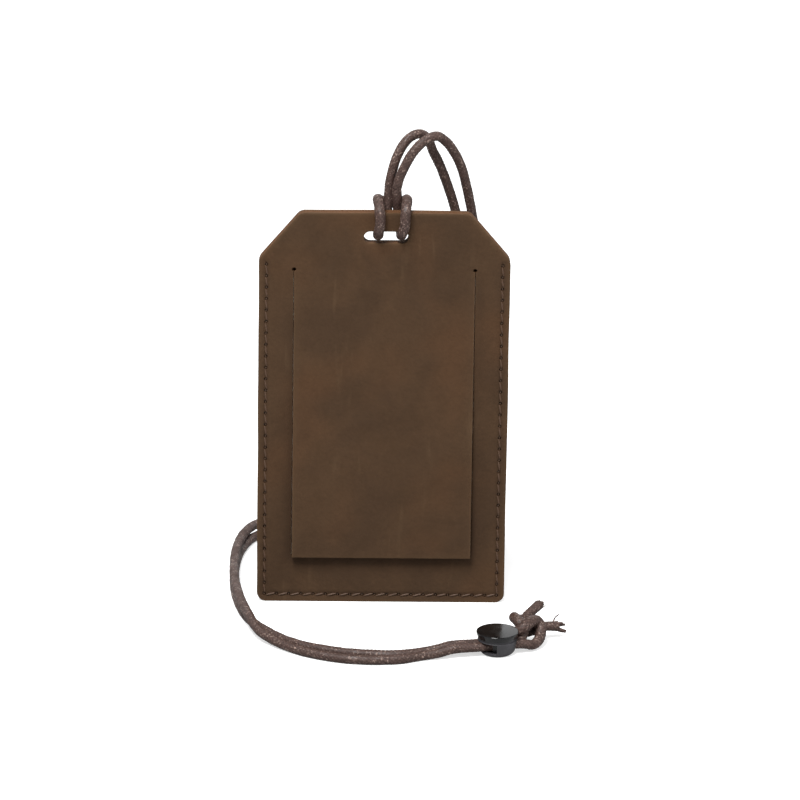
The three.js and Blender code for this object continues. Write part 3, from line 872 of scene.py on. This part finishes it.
def tagWear(x, z):
    near = np.exp(-np.maximum(edgeDistance(x, z), 0) / leather["wearReach"])
    straight = leather["slotHalf"] - leather["slotHalfHeight"]
    past = np.maximum(np.abs(x - leather["slotX"]) - straight, 0)
    slot = np.hypot(past, z - leather["slotZ"]) - leather["slotHalfHeight"]
    return np.maximum(near, 0.8 * np.exp(-np.maximum(slot, 0) / leather["slotWearReach"]))


def frontWear(x, z):
    # the window's edges are worn a little too
    half = flap["halfWidth"] + flap["kerf"]
    foot = hingeZ - flap["length"] - flap["kerf"]
    beside = np.maximum(np.abs(x) - half, np.maximum(foot - z, z - hingeZ))
    window = 0.35 * np.exp(-np.maximum(beside, 0) / leather["wearReach"]) * (z < hingeZ)
    return np.maximum(tagWear(x, z), window)


def paintedFlapShade(x, z):
    # painted shade: the leather under and beside the flap is darkened, most of all towards the flap's foot,
    # standing in for the flap's shadow
    half, foot = flap["halfWidth"], hingeZ - flap["length"]
    away = np.hypot(np.maximum(np.abs(x) - half, 0), np.maximum(foot - z, 0))
    low = np.clip((hingeZ - z) / flap["length"], 0, 1)
    shade = flap["shadeTop"] + flap["shadeFoot"] * low
    return shade * np.exp(-away / flap["shadeReach"]) * (z < hingeZ)


def makeBackPanel(material):
    outer, inner = backFace, midY + leather["gap"] / 2 + leather["pocketDepth"]
    loops = [tagLoop, slotLoop, holeLoops]
    bm = sheetOf(loops, outer, inner, leather["edgeRound"], panelColumns(), panelRows())
    piece = newPiece("backPanel", bm, material)
    finishLeather(piece, outer, inner, 3.7, tagWear)
    smoothEdges(piece, 40)
    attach(piece, "tag")
    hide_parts("back_panel")


def makeFrontPanel(material):
    outer, inner = frontFace, midY - leather["gap"] / 2 - leather["pocketDepth"]
    loops = [tagLoop, slotLoop, windowLoop, holeLoops]

    def tongueEdge(edge):
        return all(v.co.z > hingeZ + flap["stopRadius"] - 1e-6 and abs(v.co.x) < flap["halfWidth"] + 1e-6
                   and v.co.z < hingeZ + flap["tongue"] + 1e-6 for v in edge.verts)
    bm = sheetOf(loops, outer, inner, leather["edgeRound"] * 0.8, panelColumns(), panelRows(), tongueEdge)
    piece = newPiece("frontPanel", bm, material)
    # the front panel also gets painted shade beside the flap, in the same mask as the seam's pressing
    finishLeather(piece, outer, inner, 3.7, frontWear, paintedFlapShade)
    smoothEdges(piece, 40)
    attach(piece, "tag")
    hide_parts("front_panel")


def makeFlap(material):
    outer, inner = frontFace, midY - leather["gap"] / 2 - leather["pocketDepth"]
    half, foot = flap["halfWidth"], hingeZ - flap["length"]

    def tongueEdge(edge):
        return all(v.co.z > hingeZ + flap["stopRadius"] - 1e-6 for v in edge.verts)
    columns = steps(-half + 0.6 * mm, half - 0.6 * mm, 2.5 * mm)
    rows = steps(foot + 0.6 * mm, hingeZ - 6 * mm, 1.5 * mm)
    rows += steps(hingeZ - 5.6 * mm, hingeZ + 1.4 * mm, 0.35 * mm)
    bm = sheetOf([flapLoop], outer, inner, flap["edgeRound"], columns, rows, tongueEdge)
    piece = newPiece("flap", bm, material)
    places = points(piece)
    x, z = places[:, 0], places[:, 2]
    depth = places[:, 1] - outer
    near = np.minimum(half - np.abs(x), z - foot)
    worn = 0.9 * np.exp(-np.maximum(near, 0) / leather["wearReach"])
    setMask(piece, "worn", worn * (depth < 0.5 * mm) * (z < hingeZ))
    setMask(piece, "rim", np.clip((depth - 0.05 * mm) / (0.25 * mm), 0, 1))
    setMask(piece, "pressedAndShaded", np.zeros(len(x)))
    # the flap stands away from the panel more and more towards its foot
    fall = np.clip((hingeZ - z) / flap["length"], 0, 1)
    turn = flap["lift"] / flap["length"]
    ease = flap["ease"] * (1 - np.exp(-fall * flap["easeRate"])) * (1 - fall)
    places[:, 1] -= flap["lift"] * (fall - ease)
    places[:, 2] += np.where(z < hingeZ, depth * turn * np.clip((hingeZ - z) / (4 * mm), 0, 1), 0)
    movePoints(piece, places)
    smoothEdges(piece, 40)
    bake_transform(piece)
    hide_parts("privacy_flap")


def makeThread(material):
    # a lock stitch: each gap between two holes has a short bar of thread on both faces
    bm = bmesh.new()
    proud = leather["dent"] * seam["proud"]
    for (x0, z0), (x1, z1) in zip(holes, holes[1:]):
        run = math.hypot(x1 - x0, z1 - z0)
        lean = seam["footSlant"] if abs(z1 - z0) < 1e-6 else seam["slant"]
        for face, side in ((frontFace, 1), (backFace, -1)):
            turn = math.atan2(z1 - z0, x1 - x0) + rad(lean) * side
            place = Matrix.Translation(((x0 + x1) / 2, face + side * proud, (z0 + z1) / 2))
            shape = Matrix.Rotation(-turn, 4, "Y") @ Matrix.Diagonal(
                (run * seam["barHalf"], seam["thread"] * seam["barWidth"], seam["thread"] / 2, 1))
            bmesh.ops.create_uvsphere(bm, u_segments=8, v_segments=8, radius=1,
                                      matrix=place @ shape @ Matrix.Rotation(rad(90), 4, "Y"))
    plug = seam["thread"] * seam["plug"]
    for x, z in holes:
        place = Matrix.Translation((x, midY, z)) @ Matrix.Rotation(rad(90), 4, "X")
        bmesh.ops.create_cone(bm, cap_ends=True, segments=7, radius1=plug, radius2=plug,
                              depth=backFace - frontFace - seam["plugShort"], matrix=place)
    piece = newPiece("seamThread", bm, material)
    smoothEdges(piece, 50)
    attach(piece, "tag")
    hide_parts("seam_thread")


# the card in the pocket

card = {"round": 2.4 * mm}


def makeCard(material):
    bm = bmesh.new()
    bmesh.ops.create_cube(bm, size=1)
    bmesh.ops.scale(bm, verts=bm.verts, vec=cardHigh - cardLow)
    bmesh.ops.translate(bm, verts=bm.verts, vec=(cardHigh + cardLow) / 2)
    corners = [edge for edge in bm.edges if abs((edge.verts[0].co - edge.verts[1].co).y) > 0.1 * mm]
    bmesh.ops.bevel(bm, geom=corners, offset=card["round"], affect="EDGES", segments=6, profile=0.5,
                    material=-1)
    rim = [edge for edge in bm.edges if edge.calc_face_angle(0) > 1]
    bmesh.ops.bevel(bm, geom=rim, offset=0.05 * mm, affect="EDGES", segments=2, profile=0.5, material=-1)
    piece = newPiece("addressCard", bm, material)
    smoothEdges(piece)
    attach(piece, "card")
    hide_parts("address_card")


# the cord lock: a round barrel with a tunnel across it, and a spring button that grips the cord

lock = {
    "steps": 72, "mouthLow": 1.15 * mm, "mouthHigh": 4.3 * mm, "mouthRound": 0.25 * mm,
    "eyeLow": 1.1 * mm, "eyeHigh": 5.1 * mm, "eyeRound": 0.4 * mm,
    "heading": math.atan2(lockAxis.y, lockAxis.x),
    "seat": 4.6 * mm, "coil": 4.25 * mm, "wire": 0.15 * mm, "coilLow": 4.85 * mm, "coilHigh": 5.65 * mm,
    "coilSteps": 96,
}


def spinProfile(bm, profile, rounds):
    # a closed profile (radius, height), its corners rounded, turned all the way round the lock's axis
    verts = [bm.verts.new((lockX + r * mm, lockY, z * mm)) for r, z in profile]
    for i in range(len(verts)):
        bm.edges.new((verts[i - 1], verts[i]))
    for vert, radius in zip(verts, rounds):
        if radius > 0:
            bmesh.ops.bevel(bm, geom=[vert], offset=radius * mm, affect="VERTICES", segments=4, profile=0.5,
                            material=-1)
    bmesh.ops.spin(bm, geom=bm.verts[:] + bm.edges[:], cent=(lockX, lockY, 0), axis=(0, 0, 1),
                   dvec=(0, 0, 0), angle=2 * math.pi, steps=lock["steps"], use_merge=True)
    bmesh.ops.remove_doubles(bm, verts=bm.verts[:], dist=1e-6)
    bmesh.ops.recalc_face_normals(bm, faces=bm.faces[:])


def planCutter(name, plan, low, high, rounding):
    # a prism over a plan in the lock's own directions, along and across the cord
    bm = bmesh.new()
    face = bm.faces.new([bm.verts.new((u * mm, v * mm, low)) for u, v in plan])
    made = bmesh.ops.extrude_face_region(bm, geom=[face], use_keep_orig=True)
    top = [v for v in made["geom"] if isinstance(v, bmesh.types.BMVert)]
    bmesh.ops.translate(bm, verts=top, vec=(0, 0, high - low))
    bmesh.ops.recalc_face_normals(bm, faces=bm.faces[:])
    bmesh.ops.bevel(bm, geom=bm.edges[:], offset=rounding, affect="EDGES", segments=3, profile=0.5,
                    material=-1)
    bmesh.ops.rotate(bm, verts=bm.verts, matrix=Matrix.Rotation(lock["heading"], 3, "Z"))
    bmesh.ops.translate(bm, verts=bm.verts, vec=(lockX, lockY, 0))
    return newPiece(name, bm)


def makeBarrel(plastic):
    bm = bmesh.new()
    profile = [(4.0, 0), (5.05, 0.6), (5.7, 2.8), (5.72, 4.42), (5.42, 4.42), (5.42, 5.12), (4.75, 5.12),
               (4.75, 4.6), (3.8, 4.6), (3.8, 0)]
    spinProfile(bm, profile, (0.3, 1.0, 1.2, 0.1, 0, 0.06, 0.06, 0, 0.06, 0.12))
    barrel = newPiece("lockBarrel", bm, plastic)
    # the left mouth opens towards the near side, the right one towards the far side
    plan = [(7.5, -3.0), (7.5, 6.5), (3, 3.0), (-3, 3.0), (-7.5, 6.0), (-7.5, -7.2), (-1.9, -7.2),
            (-0.9, -3.0)]
    carve(barrel, planCutter("mouth", plan, lock["mouthLow"], lock["mouthHigh"], lock["mouthRound"]))
    smoothEdges(barrel, 32)
    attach(barrel, "cord_lock")
    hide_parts("lock_barrel")


def makeButton(gloss):
    bm = bmesh.new()
    profile = [(0, 0.75), (3.6, 0.75), (3.6, 5.9), (5.5, 5.9), (5.5, 5.16), (5.74, 5.16), (6.1, 6.3),
               (6.1, 6.66), (5.94, 6.8), (0, 6.8)]
    spinProfile(bm, profile, (0, 0.3, 0.2, 0.1, 0.05, 0.05, 0.15, 0.06, 0.06, 0))
    button = newPiece("lockButton", bm, gloss)
    tunnel = [(-5, -2.95), (5, -2.95), (5, 2.95), (-5, 2.95)]
    carve(button, planCutter("eye", tunnel, lock["eyeLow"], lock["eyeHigh"], lock["eyeRound"]))
    smoothEdges(button, 32)
    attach(button, "lock_button")
    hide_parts("lock_button")


def makeSpring(steel):
    # a round wire turned twice up the lock's axis
    bm = bmesh.new()
    bmesh.ops.create_circle(bm, segments=10, radius=lock["wire"])
    bmesh.ops.rotate(bm, verts=bm.verts, matrix=Matrix.Rotation(rad(90), 3, "X"))
    bmesh.ops.translate(bm, verts=bm.verts, vec=(lockX + lock["coil"], lockY, lock["coilLow"]))
    rise = (lock["coilHigh"] - lock["coilLow"]) / lock["coilSteps"]
    bmesh.ops.spin(bm, geom=bm.verts[:] + bm.edges[:], cent=(lockX, lockY, 0), axis=(0, 0, 1),
                   dvec=(0, 0, rise), angle=4 * math.pi, steps=lock["coilSteps"])
    bmesh.ops.holes_fill(bm, edges=[edge for edge in bm.edges if edge.is_boundary])
    bmesh.ops.recalc_face_normals(bm, faces=bm.faces[:])
    spring = newPiece("lockSpring", bm, steel)
    smoothEdges(spring, 60)
    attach(spring, "cord_lock")
    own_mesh(spring)
    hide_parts("lock_spring")


makeCamera()
makeStudio()
fibre = fibreGroup()
waxedCord = cordMaterial(fibre)
leatherPatches = leatherGroup()
brownLeather = leatherMaterial("brownLeather", fibre, leatherPatches)
makeBackPanel(brownLeather)
makeFrontPanel(brownLeather)
makeFlap(brownLeather)
print("leather made")
makeThread(threadMaterial(fibre))
makeCard(cardMaterial(fibre))
matt = plasticMaterial("blackPlastic", 0.42, (paintFrom(58, 57, 60), paintFrom(74, 72, 76)))
gloss = plasticMaterial("glossPlastic", 0.07, (paintFrom(14, 14, 15), paintFrom(24, 24, 25)))
steel = steelMaterial()
makeBarrel(matt)
makeButton(gloss)
makeSpring(steel)
print("lock made")


def length(path):
    return float(np.linalg.norm(np.diff(path, axis=0), axis=1).sum())


def makeStrand(name, route, node, seed):
    path = smoothRoute(route, cord["ringGap"])
    strand = cordTube(name, path, waxedCord, seed)
    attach(strand, "tag")
    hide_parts(node)
    print(name, "is", round(length(path) / mm), "mm long")
    return strand


def cordPiece(name, route, seed, swell=0.0):
    # a short stretch, thicker by swell in its middle, where the pull of the knot spreads the braid
    path = smoothRoute(route, cord["ringGap"])
    along = np.linspace(0, 1, len(path))
    piece = cordTube(name, path, waxedCord, seed, flare=1 + swell * np.sin(np.pi * along) ** 0.7)
    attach(piece, "tag")
    return piece


def joinPieces(name, pieces):
    # one object from several, which keeps the masks
    bm = bmesh.new()
    for piece in pieces:
        bm.from_mesh(piece.data)
    material = pieces[0].data.materials[0]
    for piece in pieces:
        bpy.data.objects.remove(piece)
    joined = newPiece(name, bm, material)
    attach(joined, "tag")
    return joined


def frayedTail(name, route, seed, tufts, node):
    # a cut end: the braid opens a little and its yarns fan out from it
    path = smoothRoute(route, cord["ringGap"])
    along = np.linspace(0, 1, len(path))
    parts = [cordTube(name + "Stem", path, waxedCord, seed, flare=1 + 0.16 * np.clip(along - 0.6, 0, 1))]
    way = (path[-1] - path[-4]) / np.linalg.norm(path[-1] - path[-4])
    for i, (dx, dy, dz, reach, thick) in enumerate(tufts):
        lean = np.array((dx, dy, dz))
        root = path[-1] - way * 1.2 * mm + lean * 0.35 * mm
        tip = path[-1] + (way + lean * 0.8) * reach * mm
        middle = (root + tip) / 2 + lean * 0.25 * mm
        shift = np.array((0, shiftY / mm, 0))
        yarn = smoothRoute([tuple(p / mm - shift) for p in (root, middle, tip)], 0.2 * mm)
        fade = 1 - 0.35 * np.linspace(0, 1, len(yarn)) ** 2
        parts.append(cordTube(name + "Yarn" + str(i), yarn, waxedCord, seed + i, thick * mm, fade))
    tail = joinPieces(name, parts)
    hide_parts(node)
    return tail


hitch = cordPiece("cordHitch", hitchRoute, 5.1, swell=0.1)
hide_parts("cord_hitch")
ringPart = cordPiece("knotRing", knotRing, 8.3, swell=0.2)
turnPart = cordPiece("knotTurn", knotTurn, 9.7, swell=0.14)
knot = joinPieces("cordKnot", [ringPart, turnPart])
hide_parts("cord_knot")
tuftsA = [(0.5, 0.1, -0.6, 1.2, 0.55), (-0.5, 0.1, 0.55, 1.0, 0.6), (0.35, -0.5, 0.2, 1.3, 0.5),
          (0.1, 0.5, 0.1, 1.0, 0.6), (0.9, -0.2, -0.9, 1.4, 0.16)]
tuftsB = [(0.1, -0.1, 0.75, 1.5, 0.5), (0.25, 0.3, 0.15, 2.0, 0.5), (0.2, -0.45, -0.75, 2.3, 0.68),
          (-0.2, 0.5, 0.2, 1.0, 0.5), (-0.9, 0.1, 1.9, 2.3, 0.17)]
endA = frayedTail("cordTailA", tailA, 12.1, tuftsA, "cord_tail_a")
endB = frayedTail("cordTailB", tailB, 14.6, tuftsB, "cord_tail_b")
makeStrand("cordInner", innerStrand, "cord_strand_inner", 1.3)
makeStrand("cordOuter", outerStrand, "cord_strand_outer", 2.9)
print("cord made")
